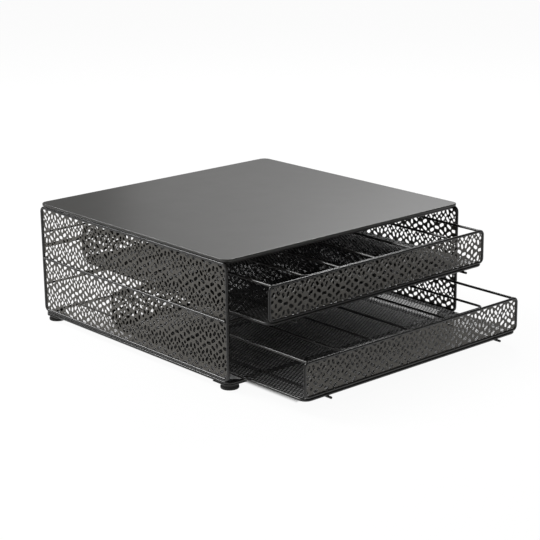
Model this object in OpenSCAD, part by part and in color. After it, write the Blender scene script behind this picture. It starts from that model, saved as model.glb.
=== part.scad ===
// Coffee pod drawer: an open wire case with a solid top, perforated sides
// and two pull-out drawers, each parted by wires into six channels.
// Millimetres, +Z up, front towards -Y. The origin is at the bottom centre of
// the object's box with both drawers pulled out as far as drawn.

/* [Case] */
// Width of the case over its side frames
case_w = 340; // [320:1:380]
// Depth of the case over its side frames
case_d = 330; // [300:1:380]
// Wire diameter of the side frames
frame_wire_d = 3.5; // [3:0.1:4.5]
// Corner radius of the side frames, on the wire's centre line
frame_corner_r = 5; // [3:0.5:12]
// Diameter of the cross wires that carry the upper drawer
cross_wire_d = 3.2; // [2.6:0.1:4]
// Distance of the first inner cross wire from the front of the case
front_inner_rail_y = 158; // [100:1:175]
// Distance of the second inner cross wire from the front of the case
rear_inner_rail_y = 244; // [190:1:270]
// Diameter of the rails outside the side panels
side_rail_d = 2.6; // [2:0.1:3.4]
// Thickness of the perforated side panels
side_panel_t = 0.6; // [0.4:0.1:1.2]
// Number of openings along a perforated panel
panel_columns = 12; // [8:1:12]
// Width of the webs between the openings of a perforated panel
panel_web = 7.5; // [6:0.5:9]

/* [Top] */
// Thickness of the top sheet
sheet_t = 1; // [0.6:0.1:1.6]
// Depth of the top sheet's turned-down rim
rim_h = 2.7; // [2.2:0.1:3.4]
// Corner radius of the top sheet
sheet_corner_r = 9; // [6:0.5:16]
// Radius of the bend along the top sheet's edge
sheet_edge_r = 0.9; // [0.5:0.1:1.1]
// Diameter of the roof wires under the top sheet
roof_wire_d = 2.7; // [2.4:0.1:4]
// Distance of the first roof wire from the front of the case
front_roof_wire_y = 26; // [18:1:60]
// Distance of the second roof wire from the front of the case
mid_front_roof_wire_y = 139; // [90:1:170]
// Distance of the third roof wire from the front of the case
mid_rear_roof_wire_y = 222; // [185:1:260]
// Diameter of the rail under the sheet's front edge
front_top_rail_d = 3; // [2:0.1:3.4]

/* [Back] */
// Diameter of the two wires across the back
rear_wire_d = 2.6; // [2:0.1:3.4]
// Height of the upper back wire over the upper drawer's floor frame
rear_upper_wire_h = 25; // [16:0.5:36]
// Height of the lower back wire over the lower drawer's floor frame
rear_lower_wire_h = 29.7; // [10:0.5:36]
// Height of the back strip over the upper drawer's floor frame
rear_strip_h = 7; // [2:0.5:14]
// Width of the back strip, up and down
rear_strip_w = 4.4; // [3:0.1:8]
// Thickness of the back strip
rear_strip_t = 1.2; // [0.8:0.1:2]

/* [Base] */
// Wire diameter of the base frame
base_wire_d = 3.2; // [2.6:0.1:4]
// Corner radius of the base frame, on the wire's centre line
base_corner_r = 6; // [4:0.5:12]
// Gap between a base rail and the runner beside it
guide_gap = 0.4; // [0.3:0.1:1]
// Length of a foot plate along each side
foot_plate_l = 25; // [22:0.5:40]
// Width of a foot plate's blunt ends
foot_plate_end_w = 6; // [3:0.5:10]
// Thickness of a foot plate
foot_plate_t = 0.9; // [0.6:0.1:2]

/* [Feet] */
// Height of the rubber feet
foot_h = 5.8; // [5:0.1:12]
// Diameter of a foot at its tread
foot_d = 19.5; // [15:0.5:20]
// Height of a foot's tread
foot_tread_h = 2.7; // [2.2:0.1:3.4]
// Step between a foot's tread and its neck
foot_step = 0.7; // [0.4:0.1:2]
// Rounding of the tread's edge
foot_edge_r = 0.8; // [0.4:0.1:1]
// Distance of a foot's axis from both sides of its corner
foot_inset = 10.5; // [10:0.5:13]
// Diameter of a foot screw's shank
screw_d = 3; // [2.5:0.1:4]
// Depth of a foot screw in its foot
screw_depth = 3.6; // [2:0.1:4.2]
// Diameter of a foot screw's head
screw_head_d = 6; // [5:0.1:7]
// Height of a foot screw's head
screw_head_h = 1.8; // [1:0.1:2.4]

/* [Drawers] */
// Free width between each side of the case and a drawer
side_gap = 13; // [8:0.5:20]
// Free length behind a closed drawer, with the case's own back wire
rear_gap = 13; // [8:0.5:30]
// Height of a drawer without its runners
drawer_h = 41.4; // [34:0.1:46]
// Height from the lower drawer to the upper one
tier_h = 65.6; // [60:0.1:80]
// Height over the upper drawer, up to the top of the side frames
headroom = 15; // [10:0.5:25]
// Running gap under the runners
slide_gap = 0.3; // [0.2:0.1:0.6]
// Distance of a closed drawer's front behind the front of the case
closed_inset = 1; // [0:0.5:4]
// How far the upper drawer is drawn out
upper_pull = 50.4; // [0:0.1:150]
// How far the lower drawer is drawn out
lower_pull = 101; // [0:0.1:150]

/* [Drawer frames] */
// Wire diameter of the front and back frames
end_wire_d = 3; // [2.4:0.1:3.6]
// Corner radius of the front and back frames, on the wire's centre line
end_corner_r = 4.5; // [3:0.5:8]
// Thickness of the perforated front and back panels
end_panel_t = 0.6; // [0.4:0.1:1.2]
// Diameter of the wires along the top of the open sides
top_wire_d = 2.8; // [2.2:0.1:3]
// Distance of the top wires from the drawer's side, on their centre line
top_wire_inset = 5.5; // [5:0.1:12]
// Wire diameter of the floor frame
floor_wire_d = 3; // [2.6:0.1:3.6]
// Corner radius of the floor frame, on the wire's centre line
floor_corner_r = 8; // [4:0.5:16]
// Diameter of the cross wires under the mesh
floor_cross_d = 2.4; // [2:0.1:2.6]
// Distance of the cross wires from the drawer's front and back
floor_cross_y = 91; // [60:1:130]
// Thickness of the floor mesh
mesh_t = 0.6; // [0.4:0.1:1.2]
// Gap between the mesh and the frames at its ends
mesh_gap = 0.1; // [0.1:0.1:0.5]

/* [Dividers and runners] */
// Wire diameter of the dividers
divider_d = 2.6; // [2:0.1:3]
// Distance of the divider loop's legs from the drawer's sides
divider_leg_inset = 52.5; // [46:0.5:65]
// Corner radius of the divider loop, on the wire's centre line
divider_corner_r = 7; // [4:0.5:14]
// Place of the left divider wire
left_divider_x = -58; // [-70:0.5:-40]
// Place of the middle divider wire
middle_divider_x = -7; // [-15:0.5:15]
// Place of the right divider wire
right_divider_x = 47; // [40:0.5:70]
// Diameter of the runners
runner_d = 2.6; // [2.4:0.1:3.4]
// Distance of the runners from the drawer's sides
runner_inset = 32; // [22:0.5:80]
// How far a runner stands out in front of its drawer
runner_stub = 3.5; // [1:0.5:8]

/* [Hidden] */
$fn = 48;

steel_colour = "#2b2b2d";
sheet_colour = "#77756f";
panel_colour = "#56544c";
rubber_colour = "#1d1c1a";
screw_colour = "#8a8c8f";

// Heights, from the floor up
base_bottom = foot_h + foot_plate_t;
base_top = base_bottom + base_wire_d;
lower_z = base_top + slide_gap + runner_d;
upper_z = lower_z + tier_h;
mid_rail_z = upper_z - runner_d - slide_gap - cross_wire_d / 2;
frame_top = upper_z + drawer_h + headroom;
plate_top = frame_top + roof_wire_d + sheet_t;

// Depths: case_y is the front of the case, and the object's box is centred on the origin
front_reach = max(0, max(lower_pull, upper_pull) - closed_inset + runner_stub);
case_y = (front_reach - case_d) / 2;
case_back_y = case_y + case_d;
upper_y = case_y + closed_inset - upper_pull;
lower_y = case_y + closed_inset - lower_pull;

// Side frames
frame_h = frame_top - base_top;
frame_x = (case_w - frame_wire_d) / 2;
post_y = case_y + frame_wire_d / 2;
back_post_y = case_back_y - frame_wire_d / 2;
frame_straight_y = post_y + frame_corner_r;
rear_roof_wire_y = case_back_y
    - max(frame_wire_d / 2 + frame_corner_r, sheet_corner_r + roof_wire_d / 2);
between_posts = case_w - 2 * frame_wire_d;

// Drawers
drawer_w = case_w - 2 * side_gap;
drawer_l = case_d - rear_gap;
end_frame_h = drawer_h - floor_wire_d;
drawer_top_wire_z = drawer_h - end_wire_d / 2;
divider_leg_x = drawer_w / 2 - divider_leg_inset;
divider_end_y = end_wire_d + divider_d;
runner_x = drawer_w / 2 - runner_inset;

// The base rails are as high as the runners, so that the lower drawer's floor frame slides on them
base_rail_d = runner_d;
base_rail_x = runner_x + (runner_d + base_rail_d) / 2 + guide_gap;

// A straight round wire along X between x1 and x2
module wire_x(d, x1, x2, y, z) {
    translate([x1, y, z]) rotate([0, 90, 0]) cylinder(d = d, h = x2 - x1);
}

// A straight round wire along Y between y1 and y2
module wire_y(d, y1, y2, x, z) {
    translate([x, y1, z]) rotate([-90, 0, 0]) cylinder(d = d, h = y2 - y1);
}

// A closed loop of round wire in the XY plane around the origin, of outer size w by l,
// with corners of radius r on the wire's centre line
module wire_loop(d, w, l, r) {
    u = (w - d) / 2 - r;
    v = (l - d) / 2 - r;
    for (side = [-1, 1]) {
        wire_x(d, -u, u, side * (v + r), 0);
        wire_y(d, -v, v, side * (u + r), 0);
    }
    for (quarter = [0:3])
        translate([(quarter == 0 || quarter == 3) ? u : -u, quarter < 2 ? v : -v, 0])
            rotate([0, 0, 90 * quarter])
                rotate_extrude(angle = 90) translate([r, 0]) circle(d = d);
}

// The same loop standing in the YZ plane, its first size along Y
module wire_loop_yz(d, w, l, r) {
    rotate([90, 0, 90]) wire_loop(d, w, l, r);
}

// The same loop standing in the XZ plane, its first size along X
module wire_loop_xz(d, w, l, r) {
    rotate([90, 0, 0]) wire_loop(d, w, l, r);
}

// A flat sheet around the origin in the XY plane, w by l with corners of radius r
module round_sheet(w, l, r, t) {
    linear_extrude(t) {
        square([w - 2 * r, l], center = true);
        square([w, l - 2 * r], center = true);
        for (x = [-1, 1], y = [-1, 1])
            translate([x * (w / 2 - r), y * (l / 2 - r)]) circle(r = r);
    }
}

// A grid of openings through a sheet of thickness t in the XY plane, from x1, y1 to x2, y2
module opening_grid(x1, x2, y1, y2, columns, rows, t) {
    w = (x2 - x1 - (columns - 1) * panel_web) / columns;
    h = (y2 - y1 - (rows - 1) * panel_web) / rows;
    for (i = [0:columns - 1], j = [0:rows - 1])
        translate([x1 + i * (w + panel_web), y1 + j * (h + panel_web), -t]) cube([w, h, 3 * t]);
}

// Children placed at a corner of the case's footprint, mirrored so that
// +X and +Y lead into the case: side is -1 on the left, back is true at the rear
module at_corner(side, back) {
    translate([side * case_w / 2, back ? case_back_y : case_y, 0])
        mirror([side > 0 ? 1 : 0, 0, 0]) mirror([0, back ? 1 : 0, 0]) children();
}

module top_plate() {
    color(sheet_colour) translate([0, case_y + case_d / 2, plate_top]) difference() {
        union() {
            translate([0, 0, -rim_h])
                round_sheet(case_w, case_d, sheet_corner_r, rim_h - sheet_edge_r);
            translate([0, 0, -rim_h])
                round_sheet(case_w - 2 * sheet_edge_r, case_d - 2 * sheet_edge_r,
                    sheet_corner_r - sheet_edge_r, rim_h);
            translate([0, 0, -sheet_edge_r])
                wire_loop(2 * sheet_edge_r, case_w, case_d, sheet_corner_r - sheet_edge_r);
        }
        translate([0, 0, -2 * rim_h])
            round_sheet(case_w - 2 * sheet_t, case_d - 2 * sheet_t, sheet_corner_r - sheet_t,
                2 * rim_h - sheet_t);
    }
}

// Side frame, panel and rail; side is -1 on the left and 1 on the right
module side_frame(side) {
    color(steel_colour) translate([side * frame_x, case_y + case_d / 2, base_top + frame_h / 2])
        wire_loop_yz(frame_wire_d, case_d, frame_h, frame_corner_r);
}
// The panel's openings leave it whole along the mid rail
module side_panel(side) {
    w = case_d - 2 * frame_wire_d;
    h = frame_h - 2 * frame_wire_d;
    x = w / 2 - panel_web;
    y = h / 2 - panel_web;
    rail_y = mid_rail_z - base_top - frame_h / 2;
    color(panel_colour)
        translate([side * frame_x - side_panel_t / 2, case_y + case_d / 2, base_top + frame_h / 2])
            rotate([90, 0, 90]) difference() {
                round_sheet(w, h, frame_corner_r - frame_wire_d / 2, side_panel_t);
                opening_grid(-x, x, -y, rail_y - panel_web, panel_columns, 2, side_panel_t);
                opening_grid(-x, x, rail_y + panel_web, y, panel_columns, 2, side_panel_t);
            }
}
module mid_rail(side) {
    color(steel_colour)
        wire_y(side_rail_d, post_y + frame_wire_d / 2, back_post_y - frame_wire_d / 2,
            side * (frame_x + side_panel_t / 2 + side_rail_d / 2), mid_rail_z);
}

// Cross wires of the case
module front_top_rail() {
    color(steel_colour)
        wire_x(front_top_rail_d, -between_posts / 2, between_posts / 2, frame_straight_y,
            frame_top - frame_wire_d / 2);
}
module roof_wire(y) {
    end_x = case_w / 2 - sheet_t;
    color(steel_colour) wire_x(roof_wire_d, -end_x, end_x, y, frame_top + roof_wire_d / 2);
}
module front_mid_rail() {
    color(steel_colour)
        wire_x(cross_wire_d, -between_posts / 2, between_posts / 2, post_y, mid_rail_z);
}
module inner_mid_rails() {
    end_x = frame_x - side_panel_t / 2;
    color(steel_colour) for (y = [front_inner_rail_y, rear_inner_rail_y])
        wire_x(cross_wire_d, -end_x, end_x, case_y + y, mid_rail_z);
}
module rear_strip() {
    color(panel_colour)
        translate([-between_posts / 2, back_post_y - rear_strip_t / 2, upper_z + rear_strip_h])
            cube([between_posts, rear_strip_t, rear_strip_w]);
}
module rear_wire(z) {
    color(steel_colour) wire_x(rear_wire_d, -between_posts / 2, between_posts / 2, back_post_y, z);
}

// Base
module base_frame() {
    color(steel_colour) translate([0, case_y + case_d / 2, base_bottom + base_wire_d / 2])
        wire_loop(base_wire_d, case_w, case_d, base_corner_r);
}
module base_rail(side) {
    color(steel_colour)
        wire_y(base_rail_d, case_y, case_back_y, side * base_rail_x, base_top + base_rail_d / 2);
}
module foot_plate(side, back) {
    corner_r = base_corner_r + base_wire_d / 2;
    color(steel_colour) at_corner(side, back) translate([0, 0, foot_h]) difference() {
        linear_extrude(foot_plate_t) {
            translate([corner_r, corner_r]) circle(r = corner_r);
            polygon([
                [corner_r, 0], [foot_plate_l, 0], [foot_plate_l, foot_plate_end_w],
                [foot_plate_end_w, foot_plate_l], [0, foot_plate_l], [0, corner_r]
            ]);
        }
        translate([foot_inset, foot_inset, -foot_plate_t])
            cylinder(d = screw_d, h = 3 * foot_plate_t);
    }
}
module foot(side, back) {
    r = foot_d / 2;
    neck_r = r - foot_step;
    color(rubber_colour) at_corner(side, back) translate([foot_inset, foot_inset, 0]) difference() {
        union() {
            cylinder(r1 = r - foot_edge_r, r2 = r, h = foot_edge_r);
            translate([0, 0, foot_edge_r]) cylinder(r = r, h = foot_tread_h - foot_edge_r);
            cylinder(r = neck_r, h = foot_h);
        }
        translate([0, 0, foot_h - screw_depth]) cylinder(d = screw_d, h = 2 * screw_depth);
    }
}
module foot_screws() {
    color(screw_colour) for (side = [-1, 1], back = [false, true])
        at_corner(side, back) translate([foot_inset, foot_inset, foot_h - screw_depth]) {
            cylinder(d = screw_d, h = screw_depth + foot_plate_t);
            translate([0, 0, screw_depth + foot_plate_t])
                cylinder(d = screw_head_d, h = screw_head_h);
        }
}

// Drawer pieces, each in the drawer's own place: its front at y = 0, its floor frame at z = 0
module end_frame() {
    translate([0, end_wire_d / 2, floor_wire_d + end_frame_h / 2])
        wire_loop_xz(end_wire_d, drawer_w, end_frame_h, end_corner_r);
}
module end_panel() {
    w = drawer_w - 2 * end_wire_d;
    h = end_frame_h - 2 * end_wire_d;
    x = w / 2 - panel_web;
    y = h / 2 - panel_web;
    translate([0, (end_wire_d + end_panel_t) / 2, floor_wire_d + end_frame_h / 2])
        rotate([90, 0, 0]) difference() {
            round_sheet(w, h, end_corner_r - end_wire_d / 2, end_panel_t);
            opening_grid(-x, x, -y, y, panel_columns, 1, end_panel_t);
        }
}
module at_drawer_back() {
    translate([0, drawer_l - end_wire_d, 0]) children();
}
module top_wire(side) {
    wire_y(top_wire_d, end_wire_d, drawer_l - end_wire_d,
        side * (drawer_w / 2 - top_wire_inset), drawer_top_wire_z);
}
module floor_frame() {
    translate([0, drawer_l / 2, floor_wire_d / 2])
        wire_loop(floor_wire_d, drawer_w, drawer_l, floor_corner_r);
}
module floor_mesh() {
    w = drawer_w - floor_wire_d;
    l = drawer_l - 2 * (end_wire_d + mesh_gap);
    translate([-w / 2, end_wire_d + mesh_gap, floor_wire_d]) cube([w, l, mesh_t]);
}
module floor_cross_wires() {
    x = drawer_w / 2 - floor_wire_d;
    for (y = [floor_cross_y, drawer_l - floor_cross_y])
        wire_x(floor_cross_d, -x, x, y, floor_wire_d - floor_cross_d / 2);
}
module divider_loop() {
    translate([0, drawer_l / 2, drawer_top_wire_z])
        wire_loop(divider_d, 2 * divider_leg_x + divider_d, drawer_l - 2 * end_wire_d,
            divider_corner_r);
}
module divider(x) {
    wire_y(divider_d, divider_end_y, drawer_l - divider_end_y, x, drawer_top_wire_z);
}
module runner(side) {
    wire_y(runner_d, -runner_stub, drawer_l, side * runner_x, -runner_d / 2);
}

// Places of the two drawers
module upper() {
    translate([0, upper_y, upper_z]) children();
}
module lower() {
    translate([0, lower_y, lower_z]) children();
}

top_plate();
side_frame(-1);  // left_side_frame
side_frame(1);  // right_side_frame
side_panel(-1);  // left_side_panel
side_panel(1);  // right_side_panel
mid_rail(-1);  // left_mid_rail
mid_rail(1);  // right_mid_rail
front_top_rail();
roof_wire(case_y + front_roof_wire_y);  // roof_wire_front
roof_wire(case_y + mid_front_roof_wire_y);  // roof_wire_mid_front
roof_wire(case_y + mid_rear_roof_wire_y);  // roof_wire_mid_rear
roof_wire(rear_roof_wire_y);  // roof_wire_rear
front_mid_rail();
inner_mid_rails();
rear_strip();
rear_wire(upper_z + rear_upper_wire_h);  // rear_upper_wire
rear_wire(lower_z + rear_lower_wire_h);  // rear_lower_wire
base_frame();
base_rail(-1);  // left_base_rail
base_rail(1);  // right_base_rail
foot_plate(-1, false);  // front_left_foot_plate
foot_plate(1, false);  // front_right_foot_plate
foot_plate(-1, true);  // rear_left_foot_plate
foot_plate(1, true);  // rear_right_foot_plate
foot(-1, false);  // front_left_foot
foot(1, false);  // front_right_foot
foot(-1, true);  // rear_left_foot
foot(1, true);  // rear_right_foot
foot_screws();

upper() color(steel_colour) end_frame();  // upper_front_frame
upper() color(panel_colour) end_panel();  // upper_front_panel
upper() color(steel_colour) at_drawer_back() end_frame();  // upper_back_frame
upper() color(panel_colour) at_drawer_back() end_panel();  // upper_back_panel
upper() color(steel_colour) top_wire(-1);  // upper_left_top_wire
upper() color(steel_colour) top_wire(1);  // upper_right_top_wire
upper() color(steel_colour) floor_frame();  // upper_floor_frame
upper() color(panel_colour) floor_mesh();  // upper_floor_mesh
upper() color(steel_colour) floor_cross_wires();  // upper_floor_cross_wires
upper() color(steel_colour) divider_loop();  // upper_divider_loop
upper() color(steel_colour) divider(left_divider_x);  // upper_left_divider
upper() color(steel_colour) divider(middle_divider_x);  // upper_middle_divider
upper() color(steel_colour) divider(right_divider_x);  // upper_right_divider
upper() color(steel_colour) runner(-1);  // upper_left_runner
upper() color(steel_colour) runner(1);  // upper_right_runner

lower() color(steel_colour) end_frame();  // lower_front_frame
lower() color(panel_colour) end_panel();  // lower_front_panel
lower() color(steel_colour) at_drawer_back() end_frame();  // lower_back_frame
lower() color(panel_colour) at_drawer_back() end_panel();  // lower_back_panel
lower() color(steel_colour) top_wire(-1);  // lower_left_top_wire
lower() color(steel_colour) top_wire(1);  // lower_right_top_wire
lower() color(steel_colour) floor_frame();  // lower_floor_frame
lower() color(panel_colour) floor_mesh();  // lower_floor_mesh
lower() color(steel_colour) floor_cross_wires();  // lower_floor_cross_wires
lower() color(steel_colour) divider_loop();  // lower_divider_loop
lower() color(steel_colour) divider(left_divider_x);  // lower_left_divider
lower() color(steel_colour) divider(middle_divider_x);  // lower_middle_divider
lower() color(steel_colour) divider(right_divider_x);  // lower_right_divider
lower() color(steel_colour) runner(-1);  // lower_left_runner
lower() color(steel_colour) runner(1);  // lower_right_runner
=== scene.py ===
import math

import bpy
from mathutils import Matrix, Vector


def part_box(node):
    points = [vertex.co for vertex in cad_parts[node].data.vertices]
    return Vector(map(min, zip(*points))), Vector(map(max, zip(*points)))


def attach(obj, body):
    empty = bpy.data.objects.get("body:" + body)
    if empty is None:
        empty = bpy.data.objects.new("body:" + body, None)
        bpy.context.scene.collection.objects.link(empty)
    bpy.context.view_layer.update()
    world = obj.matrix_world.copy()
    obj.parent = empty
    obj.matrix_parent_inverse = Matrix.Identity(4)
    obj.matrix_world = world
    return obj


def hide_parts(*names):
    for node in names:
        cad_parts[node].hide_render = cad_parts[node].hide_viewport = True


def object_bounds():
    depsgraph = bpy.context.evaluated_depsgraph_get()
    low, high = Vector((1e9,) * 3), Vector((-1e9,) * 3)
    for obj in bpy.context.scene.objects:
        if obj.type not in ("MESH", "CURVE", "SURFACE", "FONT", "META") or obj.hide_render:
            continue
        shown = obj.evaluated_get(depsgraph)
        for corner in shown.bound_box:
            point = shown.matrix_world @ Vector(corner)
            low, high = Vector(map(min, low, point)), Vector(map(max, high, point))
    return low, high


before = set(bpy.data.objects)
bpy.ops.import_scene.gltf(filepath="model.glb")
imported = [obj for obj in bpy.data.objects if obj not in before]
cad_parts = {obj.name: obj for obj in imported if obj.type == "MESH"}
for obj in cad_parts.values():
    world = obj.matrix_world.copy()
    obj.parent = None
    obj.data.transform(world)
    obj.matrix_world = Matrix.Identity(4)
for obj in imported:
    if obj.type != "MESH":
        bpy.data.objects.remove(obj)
cadLow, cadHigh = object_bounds()
print("frame loaded:", len(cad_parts), "nodes")

mm = 0.001
near = 0.01 * mm  # two places closer than this count as one
planeGap = 0.001 * mm  # a point this close to a cutting plane lies on it
facing = 0.9  # a face looks up or down where its normal has at least this share of Z
tiers = ("upper", "lower")


def deselectAll():
    if bpy.context.object and bpy.context.object.mode != "OBJECT":
        bpy.ops.object.mode_set(mode="OBJECT")
    bpy.ops.object.select_all(action="DESELECT")


def workOn(piece):
    deselectAll()
    piece.select_set(True)
    bpy.context.view_layer.objects.active = piece


def pick(piece, kind, test):
    # leaves the piece in edit mode with only the wanted verts, edges or faces selected
    workOn(piece)
    bpy.ops.object.mode_set(mode="EDIT")
    bpy.ops.mesh.select_mode(type=kind)
    bpy.ops.mesh.select_all(action="DESELECT")
    bpy.ops.object.mode_set(mode="OBJECT")
    mesh = piece.data
    for part in {"VERT": mesh.vertices, "EDGE": mesh.edges, "FACE": mesh.polygons}[kind]:
        part.select = bool(test(part))
    bpy.ops.object.mode_set(mode="EDIT")


def editAll(piece):
    workOn(piece)
    bpy.ops.object.mode_set(mode="EDIT")
    bpy.ops.mesh.select_mode(type="VERT")
    bpy.ops.mesh.select_all(action="SELECT")


def objectMode():
    bpy.ops.object.mode_set(mode="OBJECT")


def settle(piece):
    # place, turn and size go into the mesh, and the object goes to the origin
    workOn(piece)
    bpy.ops.object.transform_apply(location=True, rotation=True, scale=True)


def longAxis(size):
    return max(range(3), key=lambda i: size[i])


def thinAxis(size):
    return min(range(3), key=lambda i: size[i])


def block(size, place=(0, 0, 0)):
    deselectAll()
    bpy.ops.mesh.primitive_cube_add(size=1, location=place)
    piece = bpy.context.object
    piece.scale = size
    settle(piece)
    return piece


def rod(sides, radius, length, place=(0, 0, 0), turn=(0, 0, 0)):
    deselectAll()
    bpy.ops.mesh.primitive_cylinder_add(vertices=sides, radius=radius, depth=length,
                                        location=place, rotation=turn)
    piece = bpy.context.object
    settle(piece)
    return piece


def edgeEnds(piece, edge):
    return [piece.data.vertices[i].co for i in edge.vertices]


def roundEdges(piece, test, radius, steps):
    pick(piece, "EDGE", test)
    bpy.ops.mesh.bevel(offset=radius * mm, segments=steps, affect="EDGES")
    objectMode()


def trim(piece, low, high, closed):
    # cuts off what lies outside low and high in X and Y, and closes the cuts if asked to
    for axis in (0, 1):
        for limit, way in ((low[axis], -1), (high[axis], 1)):
            spot, outward = Vector(), Vector()
            spot[axis], outward[axis] = limit, way
            editAll(piece)
            bpy.ops.mesh.bisect(plane_co=spot, plane_no=outward, clear_outer=True, use_fill=closed,
                                threshold=planeGap)
            objectMode()


def applyModifier(piece, kind, **settings):
    workOn(piece)
    modifier = piece.modifiers.new(kind.title(), kind)
    for key, value in settings.items():
        setattr(modifier, key, value)
    bpy.ops.object.modifier_apply(modifier=modifier.name)


def repeatAlong(piece, count, step, **settings):
    applyModifier(piece, "ARRAY", count=count, use_relative_offset=False, use_constant_offset=True,
                  constant_offset_displace=step, **settings)


def smoothShade(piece, crease):
    # round edges stay round, and the broad faces beside them keep their own flat or even shading
    workOn(piece)
    bpy.ops.object.shade_smooth_by_angle(angle=math.radians(crease))
    applyModifier(piece, "WEIGHTED_NORMAL", keep_sharp=True)


def copyOf(piece, name):
    twin = piece.copy()
    twin.data = piece.data.copy()
    twin.name = name
    bpy.context.scene.collection.objects.link(twin)
    return twin


def joinAll(name, pieces):
    deselectAll()
    for piece in pieces:
        piece.select_set(True)
    bpy.context.view_layer.objects.active = pieces[0]
    bpy.ops.object.join()
    pieces[0].name = name
    return pieces[0]


def coat(piece, material):
    piece.data.materials.clear()
    piece.data.materials.append(material)


def bodyFor(node):
    for tier in tiers:
        if node.startswith(tier + "_"):
            return tier + "_drawer"
    return "case"


def finishPiece(piece, node, material):
    # gives a new piece its finish and lets it stand for its CAD node
    workOn(piece)
    piece.name = piece.data.name = node + "_piece"
    coat(piece, material)
    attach(piece, bodyFor(node))
    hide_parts(node)
    return piece


def toLinear(hexColour):
    values = [int(hexColour[i:i + 2], 16) / 255 for i in (1, 3, 5)]
    return [v / 12.92 if v <= 0.04045 else ((v + 0.055) / 1.055) ** 2.4 for v in values] + [1]


def addNode(tree, kind, settings=None, links=None):
    # settings: socket name or number, or node attribute; links: socket -> (node, output)
    node = tree.nodes.new(kind)
    for key, value in (settings or {}).items():
        if isinstance(key, int) or key in node.inputs:
            node.inputs[key].default_value = value
        else:
            setattr(node, key, value)
    for key, (source, output) in (links or {}).items():
        tree.links.new(source.outputs[output], node.inputs[key])
    return node


def emptyMaterial(name):
    material = bpy.data.materials.new(name)
    material.use_nodes = True
    material.node_tree.nodes.clear()
    return material, material.node_tree


def settledDust(tree, place, paint, look):
    # lint and dust that has settled on a flat top: sparse pale specks
    cells = addNode(tree, "ShaderNodeTexVoronoi", {"Scale": 1 / (look["dustSpacing"] * mm)},
                    {"Vector": (place, "Object")})
    edge = look["dustRadius"] / look["dustSpacing"]
    speck = addNode(tree, "ShaderNodeMapRange", {"From Min": edge, "From Max": look["dustCore"] * edge},
                    {"Value": (cells, "Distance")})
    kept = addNode(tree, "ShaderNodeMath", {"operation": "GREATER_THAN", 1: 1 - look["dustShare"]},
                   {0: (cells, "Color")})
    shown = addNode(tree, "ShaderNodeMath", {"operation": "MULTIPLY"},
                    {0: (speck, "Result"), 1: (kept, "Value")})
    return addNode(tree, "ShaderNodeMix", {"data_type": "RGBA", 7: toLinear(look["dustTint"])},
                   {"Factor": (shown, "Value"), 6: (paint, 2)})


def surfaceFinish(name, look):
    # clouds between two tints, grit that makes the gloss uneven, and a fine grain in relief
    material, tree = emptyMaterial(name)
    place = addNode(tree, "ShaderNodeTexCoord")
    cloud, grit, grain = [
        addNode(tree, "ShaderNodeTexNoise",
                {"Scale": 1 / (look[part + "Size"] * mm), "Detail": look[part + "Detail"]},
                {"Vector": (place, "Object")})
        for part in ("cloud", "grit", "grain")]
    grain.inputs["Roughness"].default_value = look["grainSharpness"]
    paint = addNode(tree, "ShaderNodeMix",
                    {"data_type": "RGBA", 6: toLinear(look["darkTint"]), 7: toLinear(look["lightTint"])},
                    {"Factor": (cloud, "Fac")})
    if "dustTint" in look:
        paint = settledDust(tree, place, paint, look)
    gloss = addNode(tree, "ShaderNodeMapRange",
                    {"From Min": look["gritLow"], "From Max": look["gritHigh"],
                     "To Min": look["smoothest"], "To Max": look["roughest"]},
                    {"Value": (grit, "Fac")})
    relief = addNode(tree, "ShaderNodeBump",
                     {"Strength": look["grainStrength"], "Distance": look["grainDepth"] * mm},
                     {"Height": (grain, "Fac")})
    shader = addNode(tree, "ShaderNodeBsdfPrincipled", {"IOR": look["ior"], "Metallic": look["metallic"]},
                     {"Base Color": (paint, 2), "Roughness": (gloss, "Result"),
                      "Normal": (relief, "Normal")})
    addNode(tree, "ShaderNodeOutputMaterial", links={"Surface": (shader, "BSDF")})
    return material


# Polyester powder coat, sprayed dry and baked: satin, a little uneven in gloss, with a fine
# orange peel about 1 mm from crest to crest that breaks up every highlight along a wire.
# Sizes and depths are in mm.
powderCoat = {
    "cloudDetail": 2.0, "gritDetail": 2.0, "gritLow": 0.3, "gritHigh": 0.7,
    "grainDetail": 1.5, "grainSharpness": 0.45, "ior": 1.5, "metallic": 0,
}
# The object has one black powder coat, but its four copies here get different tints. The perforated
# sheets' copy is painted lighter and the expanded mesh's darkest, with the wire and top sheet copies
# between. This is painted light and shade for how the light falls on each part; only the cloudy spread
# within each copy is the coat's own.
wireCoatLook = {
    **powderCoat, "darkTint": "#0f0e0d", "lightTint": "#161513", "smoothest": 0.27, "roughest": 0.33,
    "cloudSize": 30, "gritSize": 4, "grainSize": 1.4, "grainStrength": 0.16, "grainDepth": 0.02,
}
topCoatLook = {
    **powderCoat, "darkTint": "#1b1a17", "lightTint": "#201f1b", "smoothest": 0.322, "roughest": 0.338,
    "cloudSize": 120, "gritSize": 25, "grainSize": 1.2, "grainStrength": 0.15, "grainDepth": 0.01,
    "dustSpacing": 9, "dustRadius": 0.45, "dustCore": 0.4, "dustShare": 0.12, "dustTint": "#8c8a84",
}
litSheetCoatLook = {
    **powderCoat, "darkTint": "#393630", "lightTint": "#423f39", "smoothest": 0.39, "roughest": 0.49,
    "cloudSize": 60, "gritSize": 6, "grainSize": 1.2, "grainStrength": 0.3, "grainDepth": 0.02,
}
shadedMeshCoatLook = {
    **powderCoat, "darkTint": "#0c0b0a", "lightTint": "#131210", "smoothest": 0.25, "roughest": 0.35,
    "cloudSize": 25, "gritSize": 3, "grainSize": 1.0, "grainStrength": 0.3, "grainDepth": 0.02,
}
wireCoat = surfaceFinish("satin powder coat on drawn wire", wireCoatLook)
topCoat = surfaceFinish("satin powder coat on top sheet", topCoatLook)
sheetCoat = surfaceFinish("satin powder coat on perforated sheet, painted lighter", litSheetCoatLook)
meshCoat = surfaceFinish("satin powder coat on expanded mesh, painted in shade", shadedMeshCoatLook)

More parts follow.
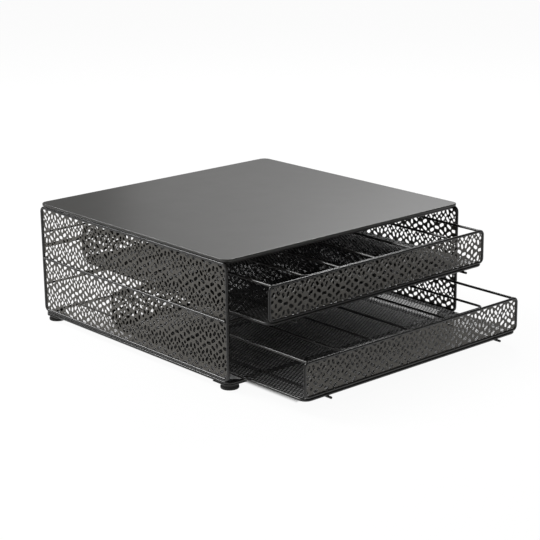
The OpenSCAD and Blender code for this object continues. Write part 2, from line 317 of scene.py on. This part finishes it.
# Synthetic rubber, compression moulded: matt, a little dusty, with the fine texture of a
# spark-eroded mould about half a millimetre across.
rubberLook = {
    "darkTint": "#0d0c0b", "lightTint": "#171614", "smoothest": 0.70, "roughest": 0.88,
    "cloudSize": 8, "cloudDetail": 3.0, "gritSize": 8, "gritDetail": 3.0, "gritLow": 0, "gritHigh": 1,
    "grainSize": 0.5, "grainDetail": 1.0, "grainSharpness": 0.5, "grainStrength": 0.5,
    "grainDepth": 0.04, "ior": 1.52, "metallic": 0,
}
rubber = surfaceFinish("moulded black rubber", rubberLook)

# Zinc-plated steel, turned and rolled: bright grey, a little blotched where the plating dulled.
zincLook = {
    "darkTint": "#7f8285", "lightTint": "#a3a5a6", "smoothest": 0.23, "roughest": 0.48,
    "cloudSize": 1.5, "cloudDetail": 3.0, "gritSize": 1.5, "gritDetail": 3.0, "gritLow": 0, "gritHigh": 1,
    "grainSize": 1.5, "grainDetail": 3.0, "grainSharpness": 0.5, "grainStrength": 0.2,
    "grainDepth": 0.01, "ior": 1.5, "metallic": 1,
}
zinc = surfaceFinish("zinc-plated steel", zincLook)
print("materials made")


# Lengths are in mm here and in the looks of all the pieces below, and angles in degrees.
wireLook = {"sides": 16, "endRound": 0.35, "endSteps": 2, "crease": 50}
caseWires = [
    "left_mid_rail", "right_mid_rail", "front_top_rail", "roof_wire_front", "roof_wire_mid_front",
    "roof_wire_mid_rear", "roof_wire_rear", "front_mid_rail", "rear_upper_wire", "rear_lower_wire",
    "left_base_rail", "right_base_rail",
]
drawerTopWires = ["left_top_wire", "right_top_wire", "left_divider", "middle_divider", "right_divider"]
runners = ["left_runner", "right_runner"]


def straightWire(low, high):
    size = high - low
    axis = longAxis(size)
    turn = [(0, math.pi / 2, 0), (math.pi / 2, 0, 0), (0, 0, 0)][axis]
    piece = rod(wireLook["sides"], min(size) / 2, size[axis], (low + high) / 2, turn)

    def atAnEnd(edge):
        a, b = edgeEnds(piece, edge)
        return abs(a[axis] - b[axis]) < near

    # the cut ends are tumbled, so their rims are slightly round
    roundEdges(piece, atAnEnd, wireLook["endRound"], wireLook["endSteps"])
    smoothShade(piece, wireLook["crease"])
    return piece


def wirePair(node):
    # two equal wires in one node, at the front and at the rear of its box
    low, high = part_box(node)
    thick = min(high - low)
    frontHigh, rearLow = high.copy(), low.copy()
    frontHigh.y = low.y + thick
    rearLow.y = high.y - thick
    return joinAll(node, [straightWire(low, frontHigh), straightWire(rearLow, high)])


for node in caseWires + [tier + "_" + wire for tier in tiers for wire in drawerTopWires + runners]:
    finishPiece(straightWire(*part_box(node)), node, wireCoat)
for node in ["inner_mid_rails"] + [tier + "_floor_cross_wires" for tier in tiers]:
    finishPiece(wirePair(node), node, wireCoat)
print("straight wires made")


bentLook = {"cornerSteps": 7, "roundness": 5}
cornerRadii = {
    "left_side_frame": 5, "right_side_frame": 5, "base_frame": 6,
    "front_frame": 4.5, "back_frame": 4.5, "floor_frame": 8, "divider_loop": 7,
}


def bentWire(node, radius):
    # the rim of a rectangle with round corners, made a curve to get the wire's thickness
    low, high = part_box(node)
    size = high - low
    thin = thinAxis(size)
    diameter = size[thin]
    wide, tall = [size[i] - diameter for i in range(3) if i != thin]
    deselectAll()
    bpy.ops.mesh.primitive_plane_add(size=1)
    piece = bpy.context.object
    piece.scale = (wide, tall, 1)
    settle(piece)
    editAll(piece)
    bpy.ops.mesh.bevel(offset=radius * mm, segments=bentLook["cornerSteps"], affect="VERTICES")
    bpy.ops.mesh.select_all(action="SELECT")
    bpy.ops.mesh.delete(type="ONLY_FACE")
    objectMode()
    bpy.ops.object.convert(target="CURVE")
    piece = bpy.context.object
    piece.data.bevel_depth = diameter / 2
    piece.data.bevel_resolution = bentLook["roundness"]
    bpy.ops.object.convert(target="MESH")
    piece = bpy.context.object
    piece.rotation_euler = [(math.pi / 2, 0, math.pi / 2), (math.pi / 2, 0, 0), (0, 0, 0)][thin]
    piece.location = (low + high) / 2
    settle(piece)
    editAll(piece)
    bpy.ops.mesh.remove_doubles(threshold=near)
    bpy.ops.mesh.normals_make_consistent(inside=False)
    objectMode()
    bpy.ops.object.shade_smooth()
    return piece


for node in ["left_side_frame", "right_side_frame", "base_frame"]:
    finishPiece(bentWire(node, cornerRadii[node]), node, wireCoat)
for tier in tiers:
    for part in ["front_frame", "back_frame", "floor_frame", "divider_loop"]:
        node = tier + "_" + part
        finishPiece(bentWire(node, cornerRadii[part]), node, wireCoat)
print("bent wires made")


# Beads are a little wider than their wires. An inset is how far a crossing lies from the end of a
# base rail, or from the edge of a floor frame.
weldLook = {"grow": 1.16, "along": 0.8, "sides": 10, "rings": 6, "railInset": 1.6, "runnerInset": 1.5}
weldedCaseWires = ["left_mid_rail", "right_mid_rail", "front_top_rail", "front_mid_rail",
                   "rear_upper_wire", "rear_lower_wire"]


def wireEnds(node):
    # a straight wire's front or left end and then the other, each with the wire's axis and radius
    low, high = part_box(node)
    size = high - low
    axis = longAxis(size)
    ends = []
    for value in (low[axis], high[axis]):
        point = (low + high) / 2
        point[axis] = value
        ends.append((point, axis, min(size) / 2))
    return ends


def bead(point, axis, radius):
    # no bead stands out past the case's own wires
    reach = cadHigh[0] - radius * weldLook["grow"]
    point.x = min(max(point.x, -reach), reach)
    deselectAll()
    bpy.ops.mesh.primitive_uv_sphere_add(segments=weldLook["sides"], ring_count=weldLook["rings"],
                                         radius=1, location=point)
    piece = bpy.context.object
    size = [radius * weldLook["grow"]] * 3
    size[axis] = weldLook["along"] * mm
    piece.scale = size
    settle(piece)
    bpy.ops.object.shade_smooth()
    return piece


def weldBeads(body, spots):
    piece = joinAll(body + "_weld_beads", [bead(*spot) for spot in spots])
    piece.data.name = piece.name
    coat(piece, wireCoat)
    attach(piece, body)


caseSpots = [end for node in weldedCaseWires for end in wireEnds(node)]
for node in ["left_base_rail", "right_base_rail"]:
    for (point, axis, radius), inward in zip(wireEnds(node), (1, -1)):
        crossing = Vector((0, inward * weldLook["railInset"] * mm, -radius))
        caseSpots.append((point + crossing, axis, radius))
weldBeads("case", caseSpots)
for tier in tiers:
    spots = [end for wire in drawerTopWires for end in wireEnds(tier + "_" + wire)]
    floorLow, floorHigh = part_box(tier + "_floor_frame")
    inset = weldLook["runnerInset"] * mm
    crossings = (floorLow.y + inset, floorHigh.y - inset)
    for wire in runners:
        for (point, axis, radius), y in zip(wireEnds(tier + "_" + wire), crossings):
            spots.append((Vector((point.x, y, point.z + radius)), axis, radius))
    weldBeads(tier + "_drawer", spots)
print("weld beads made")


# A quarter of the repeat: place, length, width and turn of each slot or round hole. The second
# half of the holes is the first turned about the quarter's middle.
holePattern = {
    "halfWide": 13, "halfHigh": 30, "corners": 12, "firstCorner": 15, "cutDepth": 4, "blankDepth": 1,
    "holes": [
        (0, 0, 6.8, 3.7, 0), (13, 0, 5.3, 3.5, 90), (7.4, 4.1, 7.0, 3.8, 32), (3.1, 9.0, 6.1, 3.5, 74),
        (13, 8.4, 3.8, 3.7, 0), (9.6, 12.2, 6.3, 3.5, 51), (0, 13.2, 3.6, 3.5, 90),
    ],
    "middleHole": (6.5, 15, 2.8, 2.5, -50),
    "repeatsWide": 15, "repeatsHigh": 4,
}


def slotCutter(x, y, length, width, turn):
    # a rod whose two halves are drawn apart, so that the slot's ends stay round
    cutter = rod(holePattern["corners"], width / 2 * mm, holePattern["cutDepth"] * mm,
                 turn=(0, 0, math.radians(holePattern["firstCorner"])))
    for way in (1, -1):
        pick(cutter, "VERT", lambda v: v.co.x * way > 0)
        bpy.ops.transform.translate(value=(way * (length - width) / 2 * mm, 0, 0))
        objectMode()
    cutter.rotation_euler.z = math.radians(turn)
    cutter.location = (x * mm, y * mm, 0)
    settle(cutter)
    return cutter


def perforatedBlank():
    # a sheet with the whole pattern and no thickness, with its middle motif at the origin
    w, h, deep = holePattern["halfWide"], holePattern["halfHigh"], holePattern["blankDepth"]
    sheet = block((w * mm, h * mm, deep * mm), (w / 2 * mm, h / 2 * mm, 0))
    holes = list(holePattern["holes"])
    holes += [(w - x, h - y, length, width, turn) for x, y, length, width, turn in holes]
    holes.append(holePattern["middleHole"])
    cutter = joinAll("slot cutters", [slotCutter(*hole) for hole in holes])
    applyModifier(sheet, "BOOLEAN", operation="DIFFERENCE", solver="EXACT", object=cutter)
    bpy.data.objects.remove(cutter)
    # only the top face is kept; the thickness comes last
    pick(sheet, "FACE", lambda f: f.normal.z < facing)
    bpy.ops.mesh.delete(type="FACE")
    bpy.ops.mesh.select_all(action="SELECT")
    bpy.ops.transform.translate(value=(0, 0, -deep / 2 * mm))
    bpy.ops.mesh.quads_convert_to_tris(quad_method="BEAUTY", ngon_method="BEAUTY")
    objectMode()
    applyModifier(sheet, "MIRROR", use_axis=(True, True, False), merge_threshold=near)
    across, up = holePattern["repeatsWide"], holePattern["repeatsHigh"]
    for count, step in ((across, (2 * w * mm, 0, 0)), (up, (0, 2 * h * mm, 0))):
        repeatAlong(sheet, count, step, use_merge_vertices=True, merge_threshold=near)
    sheet.location = (-2 * w * (across // 2) * mm, -2 * h * (up // 2) * mm, 0)
    settle(sheet)
    return sheet


blank = perforatedBlank()
print("perforated blank:", len(blank.data.polygons), "faces")

# where a motif of each sheet stands in the shared frame, along the sheet and up
motifPlaces = {
    "left_side_panel": (-81.4, 44.5), "right_side_panel": (-81.4, 44.5),
    "upper_front_panel": (-82.4, 97.5), "upper_back_panel": (-82.4, 97.5),
    "lower_front_panel": (-82.4, 25.4), "lower_back_panel": (-82.4, 25.4),
}


def perforatedSheet(node):
    low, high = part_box(node)
    size = high - low
    thin = thinAxis(size)
    along = 1 if thin == 0 else 0
    startAlong, startUp = (value * mm for value in motifPlaces[node])
    # the motif nearest the sheet's middle, so that the blank reaches both ends
    repeat = 2 * holePattern["halfWide"] * mm
    startAlong += repeat * round(((low[along] + high[along]) / 2 - startAlong) / repeat)
    piece = copyOf(blank, node)
    trim(piece, (low[along] - startAlong, low.z - startUp),
         (high[along] - startAlong, high.z - startUp), closed=False)
    applyModifier(piece, "SOLIDIFY", thickness=size[thin], offset=0)
    piece.rotation_euler = (math.pi / 2, 0, math.pi / 2 if thin == 0 else 0)
    place = (low + high) / 2
    place[along], place.z = startAlong, startUp
    piece.location = place
    settle(piece)
    bpy.ops.object.shade_flat()
    return piece


for node in motifPlaces:
    made = finishPiece(perforatedSheet(node), node, sheetCoat)
    print(node, len(made.data.polygons), "faces")
bpy.data.objects.remove(blank)
print("perforated sheets made")


# Raised diamond mesh: every strand leans a little, as the slitting press leaves it. The long way
# of the diamonds runs across the lower drawer and along the upper one, as the sheets were cut.
floorLook = {
    "longWay": 7.5, "shortWay": 4.3, "strand": 1.15, "strandDepth": 0.45, "weave": 0.06,
    "overreach": 1.01, "grain": {"lower": 0, "upper": 90}, "lean": {"lower": 4, "upper": -17},
}


def strands(low, high, turn, lean, height):
    # one family of parallel strands, a little longer than the sheet's diagonal and then trimmed
    longWay, shortWay = floorLook["longWay"] * mm, floorLook["shortWay"] * mm
    pitch = longWay * shortWay / math.hypot(longWay, shortWay)
    reach = math.hypot(high.x - low.x, high.y - low.y) * floorLook["overreach"]
    count = int(reach / pitch)
    piece = block((reach, floorLook["strand"] * mm, floorLook["strandDepth"] * mm))
    piece.rotation_euler.x = math.radians(lean)
    piece.location = (0, -pitch * (count - 1) / 2, 0)
    settle(piece)
    repeatAlong(piece, count, (0, pitch, 0))
    middle = (low + high) / 2
    piece.rotation_euler.z = turn
    piece.location = (middle.x, middle.y, height)
    settle(piece)
    trim(piece, low, high, closed=True)
    return piece


def expandedMesh(node, tier):
    low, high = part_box(node)
    slope = math.atan2(floorLook["shortWay"], floorLook["longWay"])
    grain, lean = math.radians(floorLook["grain"][tier]), floorLook["lean"][tier]
    middle = (low.z + high.z) / 2
    lift = floorLook["weave"] / 2 * mm
    return joinAll(node, [strands(low, high, grain + slope, lean, middle + lift),
                          strands(low, high, grain - slope, lean, middle - lift)])


for tier in tiers:
    node = tier + "_floor_mesh"
    made = finishPiece(expandedMesh(node, tier), node, meshCoat)
    print(node, len(made.data.polygons), "faces")
print("mesh floors made")


topLook = {
    "cornerRound": 9, "cornerSteps": 8, "edgeRound": 0.9, "edgeSteps": 4, "gauge": 1.0, "crease": 35,
}


def topSheet(node):
    low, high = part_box(node)
    piece = block(high - low, (low + high) / 2)

    def upright(edge):
        a, b = edgeEnds(piece, edge)
        return abs(a.z - b.z) > near

    def topRim(edge):
        return all(abs(end.z - high.z) < near for end in edgeEnds(piece, edge))

    roundEdges(piece, upright, topLook["cornerRound"], topLook["cornerSteps"])
    roundEdges(piece, topRim, topLook["edgeRound"], topLook["edgeSteps"])
    # open below, as a bent sheet is
    pick(piece, "FACE", lambda f: f.normal.z < -facing)
    bpy.ops.mesh.delete(type="ONLY_FACE")
    objectMode()
    applyModifier(piece, "SOLIDIFY", thickness=topLook["gauge"] * mm, offset=-1)
    smoothShade(piece, topLook["crease"])
    return piece


finishPiece(topSheet("top_plate"), "top_plate", topCoat)
print("top sheet made")


stripLook = {"edgeRound": 0.35, "edgeSteps": 2, "crease": 35}


def backStrip(node):
    low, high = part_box(node)
    piece = block(high - low, (low + high) / 2)

    def lengthwise(edge):
        a, b = edgeEnds(piece, edge)
        return abs(a.x - b.x) > near

    roundEdges(piece, lengthwise, stripLook["edgeRound"], stripLook["edgeSteps"])
    smoothShade(piece, stripLook["crease"])
    return piece


finishPiece(backStrip("rear_strip"), "rear_strip", sheetCoat)
print("back strip made")


footLook = {
    "sides": 32, "tread": 2.7, "step": 0.7, "edgeRound": 0.8, "neckRound": 0.4, "roundSteps": 3,
    "crease": 40,
}
screwLook = {
    "sides": 24, "head": 6.0, "headHeight": 1.8, "edgeRound": 0.7, "edgeSteps": 4, "shoulder": 1.5,
    "slotLength": 3.6, "slotWidth": 0.8, "slotDepth": 1.0, "crease": 35,
}
footPlaces = ["front_left", "front_right", "rear_left", "rear_right"]


def rubberFoot(node):
    low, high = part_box(node)
    middle = (low + high) / 2
    radius = (high.x - low.x) / 2
    tread, step = footLook["tread"] * mm, footLook["step"] * mm
    piece = rod(footLook["sides"], radius, tread, (middle.x, middle.y, tread / 2))
    # the neck stands on the tread, a step in from its edge
    pick(piece, "FACE", lambda f: f.normal.z > facing)
    bpy.ops.mesh.inset(thickness=step)
    bpy.ops.mesh.extrude_region_move(TRANSFORM_OT_translate={"value": (0, 0, high.z - tread)})
    objectMode()

    def ring(height, reach):
        def test(edge):
            return all(abs(end.z - height) < near and
                       abs(math.hypot(end.x - middle.x, end.y - middle.y) - reach) < 2 * near
                       for end in edgeEnds(piece, edge))
        return test

    for height, reach, rounding in ((0, radius, "edgeRound"), (tread, radius, "neckRound"),
                                    (high.z, radius - step, "neckRound")):
        roundEdges(piece, ring(height, reach), footLook[rounding], footLook["roundSteps"])
    smoothShade(piece, footLook["crease"])
    return piece


def screw(x, y, low, high):
    headHeight = screwLook["headHeight"] * mm
    piece = rod(screwLook["sides"], screwLook["head"] / 2 * mm, headHeight, (x, y, high - headHeight / 2))

    def topRim(edge):
        return all(abs(end.z - high) < near for end in edgeEnds(piece, edge))

    roundEdges(piece, topRim, screwLook["edgeRound"], screwLook["edgeSteps"])
    # the shank is drawn down out of the underside of the head
    pick(piece, "FACE", lambda f: f.normal.z < -facing)
    bpy.ops.mesh.inset(thickness=screwLook["shoulder"] * mm)
    bpy.ops.mesh.extrude_region_move(TRANSFORM_OT_translate={"value": (0, 0, low - (high - headHeight))})
    objectMode()
    for turn in (0, math.pi / 2):
        deselectAll()
        bpy.ops.mesh.primitive_cube_add(size=1, location=(x, y, high), rotation=(0, 0, turn))
        cutter = bpy.context.object
        cutter.scale = (screwLook["slotLength"] * mm, screwLook["slotWidth"] * mm,
                        2 * screwLook["slotDepth"] * mm)
        applyModifier(piece, "BOOLEAN", operation="DIFFERENCE", solver="EXACT", object=cutter)
        bpy.data.objects.remove(cutter)
    smoothShade(piece, screwLook["crease"])
    return piece


for place in footPlaces:
    node = place + "_foot"
    finishPiece(rubberFoot(node), node, rubber)
screwLow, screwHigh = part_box("foot_screws")
screwInset = screwLook["head"] / 2 * mm
screws = [screw(x, y, screwLow.z, screwHigh.z)
          for x in (screwLow.x + screwInset, screwHigh.x - screwInset)
          for y in (screwLow.y + screwInset, screwHigh.y - screwInset)]
finishPiece(joinAll("foot_screws", screws), "foot_screws", zinc)
for place in footPlaces:
    coat(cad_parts[place + "_foot_plate"], wireCoat)
print("feet, screws and foot plates made")


# The stage is in metres. Under the object the floor is painted shade by place. In fixed boxes, given by
# their middle and half size, its white glow is nearly switched off, so the plain matt floor shows its
# real shade there, and it turns to bright background around them.
studio = {
    "floorRadius": 14, "floorSides": 64, "floorDrop": 0.0002, "floorTint": "#ffffff",
    "floorGlow": 0.94, "skyFill": 0.38,
    "paintedShadeBoxes": [((0.0, 0.0585), (0.150, 0.1465)), ((0.01, -0.117), (0.1425, 0.057))],
    "paintedShadeFade": 0.008, "underGlow": 0.07, "deepGlow": 0.01, "deepStart": -0.17, "deepEnd": -0.06,
}
softboxes = {
    "overhead softbox": {
        "place": (0.1, 0.1, 1.7), "aim": (0, 0, 0.05), "size": (1.6, 1.6), "power": 5},
    "left softbox": {
        "place": (-1.7, -0.1, 1.1), "aim": (0, 0, 0.05), "size": (1.2, 1.2), "power": 4},
    "left back softbox": {
        "place": (-0.75, 1.35, 1.35), "aim": (-0.15, -0.05, 0.08), "size": (0.9, 0.5), "power": 32},
    "right back softbox": {
        "place": (1.2, 0.83, 1.35), "aim": (0, -0.15, 0.08), "size": (0.5, 0.5), "power": 15},
}
# grey cards that glow and that only reflections see, painted reflections in glossy surfaces, with their
# level and their four corners
paintedReflectionCards = {
    "flag behind left": (0.30, [(0.617, 1.141, 0), (-1.0, 2.31, 0), (0.617, 1.141, 2.0),
                                (-1.0, 2.31, 2.0)]),
    "flag low behind": (0.45, [(0.8, 1.6, 0.02), (1.55, 1.33, 0.02), (0.8, 1.6, 0.50),
                               (1.55, 1.33, 0.50)]),
    "flag left": (0.08, [(-1.0, 2.31, 0.02), (-2.6, -0.5, 0.02), (-1.0, 2.31, 2.0),
                         (-2.6, -0.5, 2.0)]),
    "flag right": (0.12, [(2.4, 1.0, 0.02), (1.6, -2.6, 0.02), (2.4, 1.0, 2.0), (1.6, -2.6, 2.0)]),
    "flag overhead": (0.07, [(-3, -3, 2.0), (3, -3, 2.0), (-3, 3, 2.0), (3, 3, 2.0)]),
    "flag behind camera": (0.12, [(-4, -3, 0.02), (4, -3, 0.02), (-4, -3, 2.0), (4, -3, 2.0)]),
    "flag on table": (0.2, [(-0.20, -0.135, 0), (-0.23, -0.26, 0), (-1.6, -0.75, 0),
                            (-0.8, -1.6, 0)]),
}


def softbox(name, values):
    deselectAll()
    bpy.ops.object.light_add(type="AREA", location=values["place"])
    lamp = bpy.context.object
    lamp.name = name
    lamp.data.shape = "RECTANGLE"
    lamp.data.size, lamp.data.size_y = values["size"]
    lamp.data.energy = values["power"]
    aim = Vector(values["aim"]) - Vector(values["place"])
    lamp.rotation_euler = aim.to_track_quat("-Z", "Y").to_euler()


def backgroundRays(tree):
    # 1 for rays that show the background itself: camera, glossy and transmission rays
    path = addNode(tree, "ShaderNodeLightPath")
    seen = addNode(tree, "ShaderNodeMath", {"operation": "MAXIMUM"},
                   {0: (path, "Is Camera Ray"), 1: (path, "Is Glossy Ray")})
    return addNode(tree, "ShaderNodeMath", {"operation": "MAXIMUM"},
                   {0: (seen, "Value"), 1: (path, "Is Transmission Ray")})


def outsidePaintedShade(tree, parts):
    # how far a spot on the floor lies outside the nearest box of painted shade, less than 0 inside it
    outside = None
    for middle, half in studio["paintedShadeBoxes"]:
        sides = {}
        for i, axis in enumerate("XY"):
            offset = addNode(tree, "ShaderNodeMath", {"operation": "SUBTRACT", 1: middle[i]},
                             {0: (parts, axis)})
            away = addNode(tree, "ShaderNodeMath", {"operation": "ABSOLUTE"}, {0: (offset, "Value")})
            past = addNode(tree, "ShaderNodeMath", {"operation": "SUBTRACT", 1: half[i]},
                           {0: (away, "Value")})
            sides[i] = (past, "Value")
        reach = addNode(tree, "ShaderNodeMath", {"operation": "MAXIMUM"}, sides)
        outside = reach if outside is None else addNode(
            tree, "ShaderNodeMath", {"operation": "MINIMUM"},
            {0: (outside, "Value"), 1: (reach, "Value")})
    return outside


def studioFloor():
    deselectAll()
    bpy.ops.mesh.primitive_circle_add(vertices=studio["floorSides"], radius=studio["floorRadius"],
                                      fill_type="NGON", location=(0, 0, -studio["floorDrop"]))
    floor = bpy.context.object
    floor.name = "studio floor"
    settle(floor)
    material, tree = emptyMaterial("matt white floor")
    matt = addNode(tree, "ShaderNodeBsdfDiffuse", {"Color": toLinear(studio["floorTint"])})
    glow = addNode(tree, "ShaderNodeEmission", {"Color": (1, 1, 1, 1), "Strength": 1.0})
    place = addNode(tree, "ShaderNodeTexCoord")
    parts = addNode(tree, "ShaderNodeSeparateXYZ", links={"Vector": (place, "Object")})
    # painted shade: the glow kept inside the boxes falls from the drawer's front towards the inside of
    # the case, so the shade deepens there by place
    glowInPaintedShade = addNode(tree, "ShaderNodeMapRange",
                    {"From Min": studio["deepStart"], "From Max": studio["deepEnd"],
                     "To Min": studio["underGlow"], "To Max": studio["deepGlow"]},
                    {"Value": (parts, "Y")})
    spread = addNode(tree, "ShaderNodeMapRange",
                     {"interpolation_type": "SMOOTHSTEP", "From Max": studio["paintedShadeFade"],
                      "To Max": studio["floorGlow"]},
                     {"Value": (outsidePaintedShade(tree, parts), "Value"), "To Min": (glowInPaintedShade, "Result")})
    share = addNode(tree, "ShaderNodeMath", {"operation": "MULTIPLY"},
                    {0: (backgroundRays(tree), "Value"), 1: (spread, "Result")})
    mix = addNode(tree, "ShaderNodeMixShader",
                  links={0: (share, "Value"), 1: (matt, "BSDF"), 2: (glow, "Emission")})
    addNode(tree, "ShaderNodeOutputMaterial", links={"Surface": (mix, "Shader")})
    floor.data.materials.append(material)


def studioWorld():
    world = bpy.data.worlds.new("white studio")
    bpy.context.scene.world = world
    world.use_nodes = True
    tree = world.node_tree
    tree.nodes.clear()
    level = addNode(tree, "ShaderNodeMapRange", {"To Min": studio["skyFill"], "To Max": 1.0},
                    {"Value": (backgroundRays(tree), "Value")})
    sky = addNode(tree, "ShaderNodeBackground", {"Color": (1, 1, 1, 1)}, {"Strength": (level, "Result")})
    addNode(tree, "ShaderNodeOutputWorld", links={"Surface": (sky, "Background")})


def paintedReflectionCard(name, level, places):
    deselectAll()
    bpy.ops.mesh.primitive_plane_add(size=1)
    card = bpy.context.object
    card.name = name
    for vertex, place in zip(card.data.vertices, places):
        vertex.co = place
    material, tree = emptyMaterial(name)
    grey = addNode(tree, "ShaderNodeEmission", {"Color": (level, level, level, 1), "Strength": 1.0})
    addNode(tree, "ShaderNodeOutputMaterial", links={"Surface": (grey, "Emission")})
    card.data.materials.append(material)
    # the card is no lamp and casts no shadow; it only paints a grey reflection into glossy surfaces
    card.visible_camera = card.visible_diffuse = False
    card.visible_shadow = card.visible_transmission = False


studioFloor()
studioWorld()
for name, values in softboxes.items():
    softbox(name, values)
for name, (level, places) in paintedReflectionCards.items():
    paintedReflectionCard(name, level, places)
print("studio made")


cameraLook = {
    "place": (-1.1417, -1.28925, 0.5749), "heading": 41.19, "down": 16.32, "roll": -0.66,
    "lens": 107.39, "sensor": 36, "farEnd": 50,
}
deselectAll()
bpy.ops.object.camera_add(location=cameraLook["place"])
camera = bpy.context.object
turn = (Matrix.Rotation(math.radians(-cameraLook["heading"]), 4, "Z")
        @ Matrix.Rotation(math.radians(90 - cameraLook["down"]), 4, "X")
        @ Matrix.Rotation(math.radians(cameraLook["roll"]), 4, "Z"))
camera.rotation_euler = turn.to_euler()
camera.data.sensor_width = cameraLook["sensor"]
camera.data.lens = cameraLook["lens"]
camera.data.clip_end = cameraLook["farEnd"]
bpy.context.scene.camera = camera
bpy.context.scene.view_settings.view_transform = "Standard"
